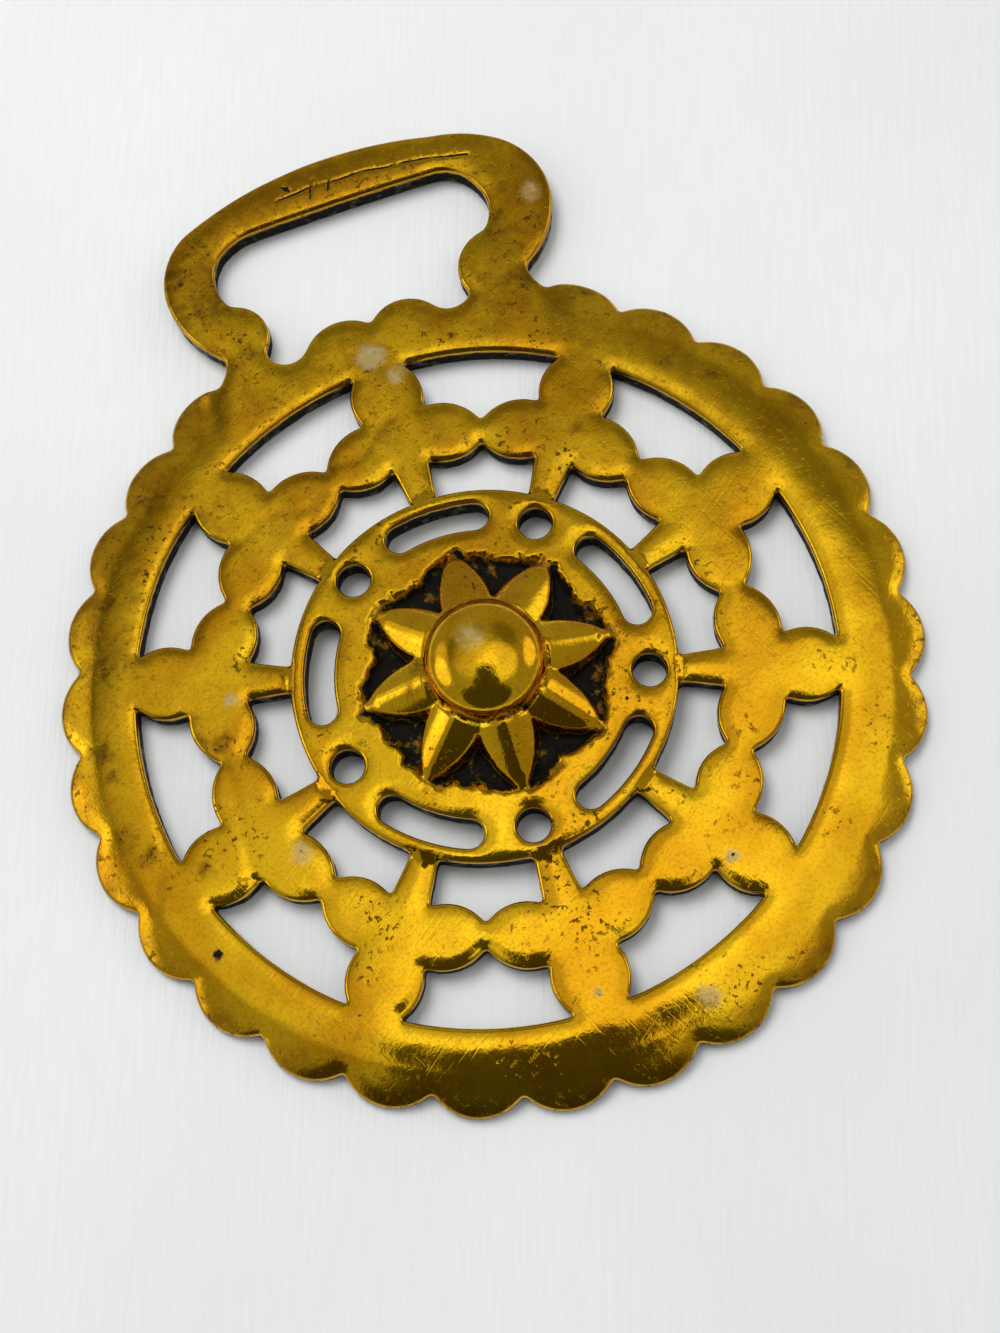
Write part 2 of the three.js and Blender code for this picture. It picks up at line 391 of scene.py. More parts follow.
def petal_top(along, across, shape):
    """Height of a petal, rounded over a ridge that falls towards the tip."""
    ridge = TIP_Z + (TIP_R - along) * math.tan(shape.ridge_slope)
    ridge = ridge - TIP_DROP * smooth(TIP_DROP_RUN, 0.0, TIP_R - along)
    side = np.sqrt(across ** 2 + RIDGE_ROUND ** 2) - RIDGE_ROUND
    return ridge - shape.petal_fall / MM * (side / PETAL_SIDE) ** PETAL_ROUNDNESS


def worn_bed_rim(local, rough):
    """Radius of the bed's ragged rim, which draws in between the petals."""
    between = 0.5 - 0.5 * np.cos(PETALS * np.angle(local))
    return BED_RIM_R - BED_DRAWN_IN * between + BED_RAGGED * rough


def boss_height(radius, shape):
    """A dome whose top is a little flatter than a sphere's."""
    power = shape.boss_squareness
    share = np.clip(radius / BOSS_FOOT_R, 0, 1)
    rise = shape.boss_rise / MM
    return BOSS_TOP - rise * (1 - (1 - share ** power) ** (1 / power))


def star_height(points, ground, rough, shape):
    """Bed, petals and boss, over the ground of the centre plate."""
    local = points - STAR_MIDDLE
    radius = np.abs(local)
    worn_rim = worn_bed_rim(local, rough)
    dish = smooth(worn_rim, worn_rim - BED_SLOPE, radius)
    grit = waves(points, wavelength=0.55, seed=11, octaves=3)
    bed = ground + (BED_FLOOR - ground + 0.10 * rough + 0.16 * grit) * dish
    along, across = petal_place(points)
    spare = petal_half_width(along) - np.abs(across)
    top = petal_top(along, across, shape)
    past_edge = np.minimum(spare - 0.10, 0)
    past_tip = np.clip(along - TIP_R, 0, None)
    flank = top + (past_edge - past_tip) * shape.flank_slope
    flank = flank - rounding(np.clip(spare, 0, None), width=0.35, depth=0.12)
    petals = np.where(along > 0.93 * NOTCH_R, flank, top)
    height = softer_max(petals, bed, width=0.10)
    height = height - SEAM_DEPTH * groove(radius - BOSS_FOOT_R - 0.10, width=0.16)
    boss = np.where(radius < BOSS_FOOT_R, boss_height(radius, shape), -np.inf)
    return np.maximum(height, boss)


def to_hole(points, middle):
    return np.abs(points - polar(HOLE_PITCH_R, middle)) - HOLE_R


def to_slot(points, middle):
    turned = points * polar(1, -middle)
    half = math.radians(SLOT_HALF)
    angle = np.clip(np.angle(turned), -half, half)
    return np.abs(turned - SLOT_R * np.exp(1j * angle)) - SLOT_WIDTH / 2


def centre_height(points, shape):
    """The centre plate, gently crowned, with its rim, slots and holes rounded over."""
    radius = np.abs(points)
    gap = CENTRE_R - radius
    for i in range(PIERCINGS):
        middle = 90 + PIERCING_TURN + i * 360 / PIERCINGS
        gap = np.minimum(gap, to_slot(points, middle))
        gap = np.minimum(gap, to_hole(points, middle + 180 / PIERCINGS))
    gap = np.maximum(gap, 0)
    crown = shape.centre_crown / MM * (1 - (radius / CENTRE_R) ** 2)
    return CENTRE_TOP + crown - bevel(gap, shape)


def bevel(to_edge, shape):
    """The hand-filed slope along an edge, and the small worn rounding that ends it."""
    share = np.clip(1 - to_edge * MM / shape.bevel_width, 0, 1)
    filed = shape.bevel_depth / MM * share ** 1.4
    return filed + rounding(to_edge, shape.round_width / MM, shape.round_depth / MM)


def rim_fall(radius, shape):
    """The rim leans outwards a little, then the scallops lean more."""
    lean = math.tan(shape.rim_lean)
    inner = np.clip(radius, RIM_FALL_R, SCALLOP_FOOT_R) - RIM_FALL_R
    span = SCALLOP_FOOT_R - RIM_FALL_R
    outer = np.clip(radius, SCALLOP_FOOT_R, CREST_R) - SCALLOP_FOOT_R
    turn = 1 - np.exp(-outer / SCALLOP_TURN)
    extra = math.tan(shape.scallop_lean) - lean
    return lean * (inner ** 2 / (2 * span) + outer) + extra * (outer - SCALLOP_TURN * turn)


def plate_height(points, to_edge, shape):
    """The frame and loop: bevelled edges, cushioned faces and the rim's fall to the scallops."""
    cushion = shape.cushion / MM * (1 - np.clip(to_edge / CUSHION_RUN, 0, 1)) ** 2
    local = points - EDGE_MIDDLE
    off_loop = np.abs(np.degrees(np.angle(local / 1j)))
    slope = rim_fall(np.abs(local), shape) * smooth(*LOOP_FEET, off_loop)
    height = PLATE_TOP - bevel(to_edge, shape) - cushion - slope
    step = np.abs(points) - CENTRE_R
    fillet = FILLET_RISE * (1 - np.clip(step / FILLET_RUN, 0, 1)) ** 2
    return height + np.where(step >= 0, fillet, 0)


def surface_height(points, to_edge, shape):
    """Height of the face, with the unevenness of a casting filed and buffed by hand."""
    rough = waves(points, wavelength=1.3, seed=1, octaves=3)
    height = plate_height(points, to_edge, shape)
    middle = np.abs(points) < CENTRE_R + 1e-3
    centre = centre_height(points[middle], shape)
    centre = np.where(
        np.abs(points[middle]) < STAR_REACH,
        star_height(points[middle], centre, rough[middle], shape),
        centre,
    )
    height[middle] = centre
    swell = waves(points, wavelength=9.0, seed=2) + 0.35 * waves(points, wavelength=3.2, seed=3)
    height = height + swell * shape.unevenness / MM - creases(points, shape)
    return np.minimum(height, BOSS_TOP), rough


# Shallow folds left by the buffing wheel, each from one place to another on the plan
CREASES = (
    (-23.6 + 0.0j, -23.7 - 11.0j),
    (-18.0 + 18.9j, -10.5 + 20.2j),
    (-13.5 + 15.5j, -8.0 + 22.0j),
    (-8.0 + 22.0j, -1.0 + 25.3j),
    (-27.5 + 3.0j, -32.5 - 12.0j),
    (-31.0 - 12.0j, -27.0 - 20.0j),
)


# A hairline along the loop's bar, and nicks across it
HAIRLINE = (
    -5.3 + 50.3j, -3.4 + 50.45j, -1.9 + 50.75j, 0.6 + 50.6j, 3.1 + 50.75j, 5.2 + 50.4j, 7.0 + 50.35j,
    9.4 + 50.05j, 11.0 + 49.65j, 13.0 + 49.2j,
)
NICKS = ((-2.3 + 49.7j, -1.8 + 51.5j), (-0.5 + 49.9j, -0.1 + 51.2j), (-4.6 + 51.5j, -4.0 + 50.9j))
LINES = tuple(zip(HAIRLINE[:-1], HAIRLINE[1:])) + NICKS
LINE_ROWS = (-0.16, -0.05, 0.05, 0.16)
LINE_STEP = 0.22
LINE_APART = 0.04             # least distance between two points of the rows


def to_lines(points):
    """Distance to the hairline or the nearest nick."""
    return np.min([to_segment(points, start, end) for start, end in LINES], axis=0)


def line_points():
    """Close rows of points along the hairline and the nicks, none of them doubled."""
    found = []
    for start, end in LINES:
        way = (end - start) / abs(end - start)
        for along in np.arange(0.05, abs(end - start), LINE_STEP):
            for row in LINE_ROWS:
                point = start + way * (along + 1j * row)
                if all(abs(point - other) > LINE_APART for other in found):
                    found.append(point)
    return np.array(found)


def creases(points, shape):
    """Depth of the hairline, the nicks and the shallow folds."""
    depth = shape.hairline_depth / MM * smooth(*LINE_EDGES, to_lines(points))
    bent = points + 0.5j * np.sin(points.real)
    for start, end in CREASES:
        depth += shape.crease_depth / MM * groove(to_segment(bent, start, end), width=0.55)
    return depth


# ---------------------------------------------------------------- wear, dirt and painted shade

# Brown stains, black specks and pale bloom: (middle, radius), in millimetres
STAINS = (
    (-24.0 + 25.0j, 2.2), (-21.5 + 27.5j, 1.2), (-32.0 + 10.5j, 1.8), (-33.6 - 5.0j, 1.4),
    (-32.0 - 6.9j, 1.1), (-23.6 + 0.8j, 1.5), (-25.2 + 1.6j, 0.9), (27.4 + 16.3j, 0.9),
    (27.5 + 20.5j, 0.8), (-13.4 + 47.1j, 1.2), (-16.4 + 43.9j, 1.3), (-15.0 + 43.0j, 1.0),
    (-12.7 + 41.0j, 0.8), (13.5 + 41.0j, 2.2), (14.2 + 38.6j, 1.4), (7.5 + 50.5j, 0.9),
    (-5.6 + 1.2j, 1.0), (-6.6 - 0.2j, 0.8), (-30.5 + 16.5j, 1.6), (-34.0 + 3.2j, 1.5),
    (-33.2 + 0.8j, 1.0), (-30.3 + 21.0j, 1.0), (18.5 + 24.6j, 1.1), (23.6 + 23.0j, 1.2),
    (-9.2 + 18.0j, 0.7), (14.4 + 19.4j, 1.0), (-27.5 - 9.8j, 1.0),
)
SPECKS = (
    (-28.6 - 16.7j, 0.75), (-18.4 - 25.2j, 0.35), (1.4 - 25.7j, 0.32), (-4.3 + 51.2j, 0.35),
    (9.8 - 32.2j, 0.22), (15.3 - 21.7j, 0.16), (-19.4 - 10.4j, 0.25), (1.2 - 29.3j, 0.14),
    (11.0 - 6.2j, 0.22), (30.1 + 2.0j, 0.2), (24.2 + 10.4j, 0.25), (-15.4 + 0.4j, 0.25),
)
BLOOMS = (
    (-0.3 + 1.3j, 1.5),
    (9.8 - 32.2j, 1.15), (15.3 - 21.7j, 0.65), (-19.4 - 10.4j, 1.15), (1.2 - 29.3j, 0.4),
    (-1.2 + 32.0j, 1.5), (0.6 + 29.6j, 1.1), (17.5 + 43.5j, 1.2), (-21.8 + 4.4j, 0.7),
    (24.5 - 15.0j, 1.1),
)

# Wider dull places: (middle, reach, how dull)
DULL = (
    (-25.0 + 19.0j, 13.0, 0.6), (-14.5 + 45.0j, 9.0, 0.9), (-31.0 + 12.0j, 8.0, 0.55),
    (-20.0 + 28.0j, 8.0, 0.45),
)


def spots(points, places, ragged):
    """How strongly each point lies under a list of spots with ragged edges."""
    cover = np.zeros(len(points))
    for middle, radius in places:
        gap = np.abs(points - middle) / radius + 0.45 * ragged
        cover = np.maximum(cover, smooth(1.15, 0.35, gap))
    return cover


def face_wear_and_shade(points, height, rough):
    """Dirt and wear of the face, each as a share from 0 to 1; the browns also hold painted shade, darker
    towards the loop and in a line along the scallops' foot.
    """
    fine = waves(points, wavelength=0.7, seed=5, octaves=3)
    local = points - STAR_MIDDLE
    radius = np.abs(local)
    on_bed = smooth(1.0, -0.6, radius - worn_bed_rim(local, 1.5 * rough))
    hollow = on_bed * smooth(0.75, 0.05, height - BED_FLOOR - 0.3)
    seam = groove(radius - BOSS_FOOT_R - 0.08, width=0.17) * smooth(-0.5, 0.4, fine)
    lines = smooth(*LINE_EDGES, to_lines(points))
    specks = spots(points, SPECKS, 0.3 * fine)

    from_middle = np.abs(points - EDGE_MIDDLE)
    rim = smooth(CREST_R - 2.8, CREST_R - 0.2, from_middle) * smooth(CREST_R + 2, CREST_R, from_middle)
    # painted shade: a brown line along the fold where the scallops start to lean
    foot = groove(from_middle - SCALLOP_FOOT_R, width=0.5) * (rim > 0)
    # painted shade: the face is browned more and more towards the loop, partly real tarnish, partly the
    # dimmer reflections up there
    tarnish_and_shade_towards_loop = smooth(-25, 48, points.imag)
    brown = [0.55 * tarnish_and_shade_towards_loop, 0.8 * rim, 0.5 * foot, 0.8 * hollow, spots(points, STAINS, fine)]
    for middle, reach, dullness in DULL:
        brown.append(dullness * smooth(reach, 0.3 * reach, np.abs(points - middle)))
    return {
        "grime_and_shade": np.max([hollow, 0.75 * seam, specks, lines], axis=0),
        "tarnish_and_shade": np.max(brown, axis=0),
        "bloom": spots(points, BLOOMS, 0.5 * fine),
        "wall": np.zeros(len(points)),
    }


# ---------------------------------------------------------------- the mesh

def face_points(edges, finder):
    """Rows that follow each edge, then a fine field over the star and a wider one elsewhere."""
    rows = []
    offsets = []
    for outline in edges:
        normal = inward(outline)
        for offset in EDGE_ROWS:
            row = outline + normal * offset
            if offset > THIN_FROM:
                row = row[::2]
            rows.append(row)
            offsets.append(np.full(len(row), offset))
    rows = np.concatenate(rows)
    rows = rows[finder.distance(rows) > ROW_SLACK * np.concatenate(offsets)]

    reach = STAR_REACH * (1 + 1j)
    star = honeycomb(STAR_MIDDLE - reach, STAR_MIDDLE + reach, STAR_STEP)
    star = star[np.abs(star - STAR_MIDDLE) < STAR_REACH]
    plate = honeycomb(PLAN_LOW, PLAN_HIGH, PLATE_STEP)
    plate = plate[np.abs(plate - STAR_MIDDLE) > STAR_REACH + 0.15]
    field = np.concatenate([star, plate])
    step = np.where(np.abs(field - STAR_MIDDLE) < STAR_REACH, STAR_STEP, PLATE_STEP)
    field = field[finder.distance(field) > EDGE_ROWS[-1] + 0.5 * step]
    return np.concatenate([rows, field])


def triangles(points, edges, edge_count):
    """Triangles that fill the metal between closed edges, whose points come first."""
    runs = []
    start = 0
    for outline in edges:
        indices = np.arange(start, start + len(outline))
        runs += list(zip(indices.tolist(), np.roll(indices, -1).tolist()))
        start += len(outline)
    flat = [Vector((p.real, p.imag)) for p in points]
    found, _, faces, _, _, _ = delaunay_2d_cdt(flat, runs, [], 0, 1e-7, False)
    if len(found) != len(points):
        raise RuntimeError("the plan's points ran together")
    faces = np.array(faces)
    doubtful = np.all(faces < edge_count, axis=1)
    middles = points[faces[doubtful]].mean(axis=1)
    keep = np.ones(len(faces), bool)
    keep[doubtful] = inside(middles, edges)
    faces = faces[keep]
    a, b, c = points[faces[:, 0]], points[faces[:, 1]], points[faces[:, 2]]
    turned = (np.conj(b - a) * (c - a)).imag < 0
    faces[turned] = faces[turned][:, ::-1]
    return faces


# Rows down the walls: (share of the way down, how far the wall stands in from the edge)
WALL_ROWS = ((0.22, -0.02), (0.55, 0.03), (0.9, 0.04))
WALL_ROUGH = 0.05
BACK_INSET = 0.16

# Shares of dirt and wear on the walls and the back; on the walls the dark share is partly old polish and
# partly painted shade, more in the openings than outside
OPENING_GRIME_AND_SHADE = 0.95
OUTSIDE_GRIME_AND_SHADE = 0.6
WALL_TARNISH = 0.7
BACK_WEAR = {"grime_and_shade": 0.12, "tarnish_and_shade": 0.6, "bloom": 0.0, "wall": 0.0}


def warped(points, shape):
    """The plan pulled slightly out of true, as a sand mould leaves it."""
    pull = waves(points, wavelength=15.0, seed=7) + 1j * waves(points, wavelength=15.0, seed=8)
    return points + shape.plan_warp / MM * pull


def add_walls(edges, edge_height, plan, levels, faces, wear_and_shade):
    """Adds rings of points down every edge. The last ring is the rim of the back."""
    edge_points = np.concatenate(edges)
    count = len(edge_points)
    normal = np.concatenate([inward(e) for e in edges])
    starts = np.cumsum([0] + [len(e) for e in edges[:-1]])
    following = np.concatenate([
        np.roll(np.arange(len(e)), -1) + start for e, start in zip(edges, starts)
    ])
    ragged = waves(edge_points, wavelength=0.9, seed=9, octaves=3)
    most_grime_and_shade = np.full(count, OPENING_GRIME_AND_SHADE)
    most_grime_and_shade[:len(edges[0])] = OUTSIDE_GRIME_AND_SHADE
    rings = [(share, inset + WALL_ROUGH * ragged) for share, inset in WALL_ROWS]
    rings.append((1.0, BACK_INSET))
    upper = np.arange(count)
    first = len(plan[0])
    for share, inset in rings:
        lower = np.arange(first, first + count)
        plan.append(edge_points + normal * inset)
        levels.append(edge_height * (1 - share))
        faces.append(np.stack([upper, lower, lower[following]], axis=1))
        faces.append(np.stack([upper, lower[following], upper[following]], axis=1))
        # painted shade over old polish: each wall is blackest at its top, and the openings' walls are
        # blacker than the outside edge
        grime_and_shade = most_grime_and_shade * (1.5 - 0.7 * share) + 0.3 * ragged
        wear_and_shade["grime_and_shade"].append(np.clip(grime_and_shade, 0, 1))
        wear_and_shade["tarnish_and_shade"].append(np.full(count, WALL_TARNISH))
        wear_and_shade["bloom"].append(np.zeros(count))
        wear_and_shade["wall"].append(np.ones(count))
        upper = lower
        first += count


def add_back(edges, finder, plan, levels, faces, wear_and_shade):
    """Adds the flat back, inside the last ring of the walls."""
    rim = [e + inward(e) * BACK_INSET for e in edges]
    rim_count = sum(len(e) for e in rim)
    field = honeycomb(PLAN_LOW, PLAN_HIGH, BACK_STEP)
    field = field[finder.distance(field) > BACK_CLEAR]
    field = field[inside(field, edges)]
    back = np.concatenate(rim + [field])
    first = sum(len(part) for part in plan) - rim_count
    faces.append(triangles(back, rim, rim_count)[:, ::-1] + first)
    plan.append(field)
    levels.append(np.zeros(len(field)))
    for name, share in BACK_WEAR.items():
        wear_and_shade[name].append(np.full(len(field), share))


def casting_mesh(shape):
    """Face, walls and back of the casting as one closed mesh, with its wear and painted shade as
    attributes.
    """
    edges = outlines()
    edge_points = np.concatenate(edges)
    edge_count = len(edge_points)
    finder = EdgeFinder(edges)
    field = face_points(edges, finder)
    field = np.concatenate([field[inside(field, edges)], line_points()])
    face = np.concatenate([edge_points, field])
    to_edge = np.concatenate([np.zeros(edge_count), finder.distance(field)])
    height, rough = surface_height(face, to_edge, shape)

    plan = [face]
    levels = [height]
    faces = [triangles(face, edges, edge_count)]
    wear_and_shade = {name: [shares] for name, shares in face_wear_and_shade(face, height, rough).items()}
    add_walls(edges, height[:edge_count], plan, levels, faces, wear_and_shade)
    add_back(edges, finder, plan, levels, faces, wear_and_shade)

    plan = warped(np.concatenate(plan), shape)
    points = np.stack([plan.real, plan.imag, np.concatenate(levels)], axis=1) * MM
    mesh = bpy.data.meshes.new("cast_brass_face_and_back")
    mesh.from_pydata(points.tolist(), [], np.concatenate(faces).tolist())
    mesh.validate()
    mesh.shade_smooth()
    mesh.set_sharp_from_angle(angle=math.radians(50))
    for name, shares in wear_and_shade.items():
        layer = mesh.attributes.new(name, "FLOAT", "POINT")
        layer.data.foreach_set("value", np.concatenate(shares).astype(np.float32))
    return mesh


# ---------------------------------------------------------------- materials

def linear(code):
    """An sRGB hex colour as linear red, green and blue."""
    parts = [int(code[i:i + 2], 16) / 255 for i in (0, 2, 4)]
    return tuple(c / 12.92 if c <= 0.04045 else ((c + 0.055) / 1.055) ** 2.4 for c in parts)


def add(tree, kind, settings=None, **inputs):
    """One node with its settings. An input takes a value, a socket or a node, whose first output is
    used; i0, i1 and i2 are inputs by number."""
    node = tree.nodes.new(kind)
    for name, value in (settings or {}).items():
        setattr(node, name, value)
    for name, value in inputs.items():
        if name in ("i0", "i1", "i2"):
            socket = node.inputs[int(name[1])]
        else:
            socket = next(s for s in node.inputs if s.enabled and s.name == name.replace("_", " "))
        if isinstance(value, bpy.types.Node):
            value = next(s for s in value.outputs if s.enabled)
        if isinstance(value, bpy.types.NodeSocket):
            tree.links.new(value, socket)
        elif socket.type == "RGBA":
            socket.default_value = (*value, 1)
        else:
            socket.default_value = value
    return node


TIMES = {"operation": "MULTIPLY"}
MINUS = {"operation": "SUBTRACT", "use_clamp": True}
TIMES_PLUS = {"operation": "MULTIPLY_ADD", "use_clamp": True}
LARGER = {"operation": "MAXIMUM"}
COLOURS = {"data_type": "RGBA"}
EASED = {"interpolation_type": "SMOOTHSTEP"}
SUNKEN = {"invert": True}


def new_material(name):
    material = bpy.data.materials.new(name)
    material.use_nodes = True
    tree = material.node_tree
    tree.nodes.clear()
    return material, tree


def mottling(tree, place, size, low, high, detail=2.0, roughness=0.5, stretch=None, turn=0.0):
    """Cloudy pattern with patches of a real size in metres, spread to 0..1 between two of its values.
    A stretch over 1 draws it out along that axis."""
    if stretch:
        place = add(
            tree, "ShaderNodeMapping", {"vector_type": "TEXTURE"},
            Vector=place, Rotation=(0, 0, turn), Scale=stretch,
        )
    cloud = add(
        tree, "ShaderNodeTexNoise", Vector=place, Scale=1 / size, Detail=detail, Roughness=roughness,
    )
    return add(tree, "ShaderNodeMapRange", EASED, Value=cloud, From_Min=low, From_Max=high)


def cast_buffed_brass(finish):
    """Yellow brass, sand cast and buffed by hand for years: a soft mirror full of fine pits and rubbing
    marks, browner where the cloth has not reached, with painted shade browning it towards the loop and
    along the scallops' foot, black with old polish in the hollows, black on the walls partly as painted
    shade, and with green-grey walls that are partly a painted reflection of the pale floor."""
    material, tree = new_material("cast_buffed_brass")
    place = add(tree, "ShaderNodeTexCoord").outputs["Object"]
    grime_and_shade, tarnish_and_shade, bloom, wall = [
        add(tree, "ShaderNodeAttribute", {"attribute_name": name}).outputs["Fac"]
        for name in ("grime_and_shade", "tarnish_and_shade", "bloom", "wall")
    ]
    brass, deep, brown, pit, pale, black, green = [
        tuple(colour) for colour in (
            finish.brass, finish.deep_brass, finish.tarnish_and_shade, finish.pit, finish.bloom, finish.grime_and_shade,
            finish.verdigris_and_reflection,
        )
    ]

    clouds = mottling(tree, place, 8 * MM, 0.35, 0.66, 3)
    patches = mottling(tree, place, 6 * MM, 0.50, 0.64, 3)
    mottle = mottling(tree, place, 1.5 * MM, 0.36, 0.70, 4, 0.65)
    # Casting grain is under a tenth of a millimetre; it is drawn three times as coarse so that it shows.
    grit = mottling(tree, place, 0.30 * MM, 0.42, 0.72, 3, 0.6)
    flecks = mottling(tree, place, 0.55 * MM, 0.585, 0.66, 3, 0.6)

    metal = add(tree, "ShaderNodeMix", COLOURS, Factor=clouds, A=brass, B=deep)
    grain = add(tree, "ShaderNodeMath", TIMES, i0=grit, i1=0.30)
    metal = add(tree, "ShaderNodeMix", COLOURS, Factor=grain, A=metal, B=brown)
    uneven = add(tree, "ShaderNodeMath", TIMES_PLUS, i0=mottle, i1=0.75, i2=0.3)
    # The brown here is tarnish, and also painted shade towards the loop and along the scallops' foot.
    stain_and_shade = add(tree, "ShaderNodeMath", TIMES, i0=tarnish_and_shade, i1=uneven)
    metal = add(tree, "ShaderNodeMix", COLOURS, Factor=stain_and_shade, A=metal, B=brown)
    crowd = add(tree, "ShaderNodeMath", LARGER, i0=patches, i1=tarnish_and_shade)
    flecked = add(tree, "ShaderNodeMath", TIMES, i0=flecks, i1=crowd)
    pitted = add(tree, "ShaderNodeMath", TIMES, i0=flecked, i1=0.8)
    metal = add(tree, "ShaderNodeMix", COLOURS, Factor=pitted, A=metal, B=pit)
    crust = add(tree, "ShaderNodeMath", TIMES, i0=bloom, i1=uneven)
    metal = add(tree, "ShaderNodeMix", COLOURS, Factor=crust, A=metal, B=pale)
    # painted reflection: the walls are made less of a mirror and painted green-grey, partly a real skin,
    # partly the pale floor they would reflect
    skin_and_reflection = add(tree, "ShaderNodeMath", TIMES, i0=wall, i1=uneven)
    metal = add(tree, "ShaderNodeMix", COLOURS, Factor=skin_and_reflection, A=metal, B=green)
    rubbed_off = add(tree, "ShaderNodeMath", TIMES, i0=mottle, i1=0.8)
    left = add(tree, "ShaderNodeMath", MINUS, i0=grime_and_shade, i1=rubbed_off)
    # The black is old polish in the hollows and, on the walls, partly painted shade.
    dirt_and_shade = add(tree, "ShaderNodeMapRange", EASED, Value=left, From_Min=0.1, From_Max=0.55)
    colour = add(tree, "ShaderNodeMix", COLOURS, Factor=dirt_and_shade, A=metal, B=black)

    covered = add(tree, "ShaderNodeMath", TIMES_PLUS, i0=crust, i1=0.6, i2=dirt_and_shade)
    covered = add(tree, "ShaderNodeMath", TIMES_PLUS, i0=skin_and_reflection, i1=0.7, i2=covered)
    bare = add(tree, "ShaderNodeMath", MINUS, i0=1.0, i1=covered)

    dull = finish.roughness
    shares = ((grit, 0.07), (stain_and_shade, 0.14), (flecked, 0.3), (crust, 0.35), (skin_and_reflection, 0.3), (dirt_and_shade, 0.45))
    for share, amount in shares:
        dull = add(tree, "ShaderNodeMath", TIMES_PLUS, i0=share, i1=amount, i2=dull)

    relief = add(tree, "ShaderNodeBump", SUNKEN, Height=grit, Distance=0.0008 * MM)
    # Rubbing marks are a few microns wide; they too are drawn as coarse as they need to show.
    for turn in (28, -52):
        marks = mottling(
            tree, place, 0.35 * MM, 0.60, 0.70, 1, stretch=(1, 30, 1), turn=math.radians(turn),
        )
        relief = add(tree, "ShaderNodeBump", SUNKEN, Height=marks, Distance=0.002 * MM, Normal=relief)
    relief = add(tree, "ShaderNodeBump", SUNKEN, Height=flecked, Distance=0.02 * MM, Normal=relief)
    relief = add(tree, "ShaderNodeBump", Height=mottle, Distance=0.004 * MM, Normal=relief)
    relief = add(tree, "ShaderNodeBump", Height=crust, Distance=0.02 * MM, Normal=relief)

    # Old polish is chalky, so it shines less than its own colour would.
    sheen = add(tree, "ShaderNodeMapRange", Value=dirt_and_shade, To_Min=0.5, To_Max=0.12)
    surface = add(
        tree, "ShaderNodeBsdfPrincipled", Base_Color=colour, Metallic=bare, Roughness=dull, Normal=relief,
        Specular_IOR_Level=sheen,
    )
    add(tree, "ShaderNodeOutputMaterial", Surface=surface)
    return material


def bleached_woven_cotton(setting):
    """White cotton sheeting laid flat: matt, with a faint rib and slow creases."""
    material, tree = new_material("bleached_woven_cotton")
    place = add(tree, "ShaderNodeTexCoord").outputs["Object"]
    clouds = mottling(tree, place, 60 * MM, 0.3, 0.7, 2)
    # Threads stand about a quarter of a millimetre apart; the rib is drawn twice as wide so that it shows.
    rib = mottling(tree, place, 0.5 * MM, 0.3, 0.7, 1, stretch=(1, 12, 1), turn=math.radians(-17))
    folds = mottling(tree, place, 35 * MM, 0.25, 0.75, 1, stretch=(1, 3, 1), turn=math.radians(30))
    white = tuple(setting.floor)
    shade = tuple(0.93 * c for c in white)
    thread = add(tree, "ShaderNodeMath", TIMES, i0=rib, i1=0.4)
    colour = add(tree, "ShaderNodeMix", COLOURS, Factor=clouds, A=white, B=shade)
    colour = add(tree, "ShaderNodeMix", COLOURS, Factor=thread, A=colour, B=shade)
    relief = add(tree, "ShaderNodeBump", Height=rib, Distance=0.02 * MM)
    relief = add(tree, "ShaderNodeBump", Height=folds, Distance=0.5 * MM, Normal=relief)
    surface = add(tree, "ShaderNodeBsdfPrincipled", Base_Color=colour, Roughness=0.9, Normal=relief)
    add(tree, "ShaderNodeOutputMaterial", Surface=surface)
    return material


# ---------------------------------------------------------------- light and camera

# Soft panels of light round the table: compass angle from +X, angle down from overhead, the half
# angles where a panel starts to fade and where it has gone, and what it adds. The negative ones are
# dark screens, and the last three let nothing through.
PANELS = (
    (-13, 13.5, 17, 26, 0.74),
    (135, 14, 8, 27, 0.42),
    (90, 38, 4, 12, -0.14),
    (132, 36, 6, 18, -0.22),
    (45, 40, 6, 18, -0.18),
    (172, 62, 14, 20, 1.2),
    (150, 58, 10, 17, 0.55),
    (2, 66, 14, 20, 1.2),
    (240, 6.2, 8.0, 9.4, -2.0),
    (254, 21.8, 12, 14.5, -2.0),
    (256, 57, 30, 34, -2.0),
)
DARKEST = 0.07


def direction(compass, height):
    a, h = math.radians(compass), math.radians(height)
    return Vector((math.cos(a) * math.cos(h), math.sin(a) * math.cos(h), math.sin(h)))


def surround(setting):
    """The light of the room, as a sky of soft panels."""
    world = bpy.data.worlds.new("soft_panels")
    world.use_nodes = True
    tree = world.node_tree
    tree.nodes.clear()
    outward = add(tree, "ShaderNodeTexCoord").outputs["Generated"]
    glow = setting.room
    for compass, down, full, gone, brightness in PANELS:
        lean = add(
            tree, "ShaderNodeVectorMath", {"operation": "DOT_PRODUCT"},
            i0=outward, i1=direction(compass, 90 - down),
        ).outputs["Value"]
        panel = add(
            tree, "ShaderNodeMapRange", EASED, Value=lean, To_Max=brightness,
            From_Min=math.cos(math.radians(gone)), From_Max=math.cos(math.radians(full)),
        )
        glow = add(tree, "ShaderNodeMath", {"operation": "ADD"}, i0=glow, i1=panel)
    glow = add(tree, "ShaderNodeMath", LARGER, i0=glow, i1=DARKEST)
    back = add(tree, "ShaderNodeBackground", Color=(1, 1, 1), Strength=glow)
    add(tree, "ShaderNodeOutputWorld", Surface=back)
    bpy.context.scene.world = world


# The stage, in metres. The cloth lies just under the back, so that the two don't share a plane.
CLOTH_HALF = 0.6
CLOTH_Z = -0.00002
KEY_SIZE = 0.35
KEY_AWAY = 0.6
KEY_FROM = direction(115, 62)


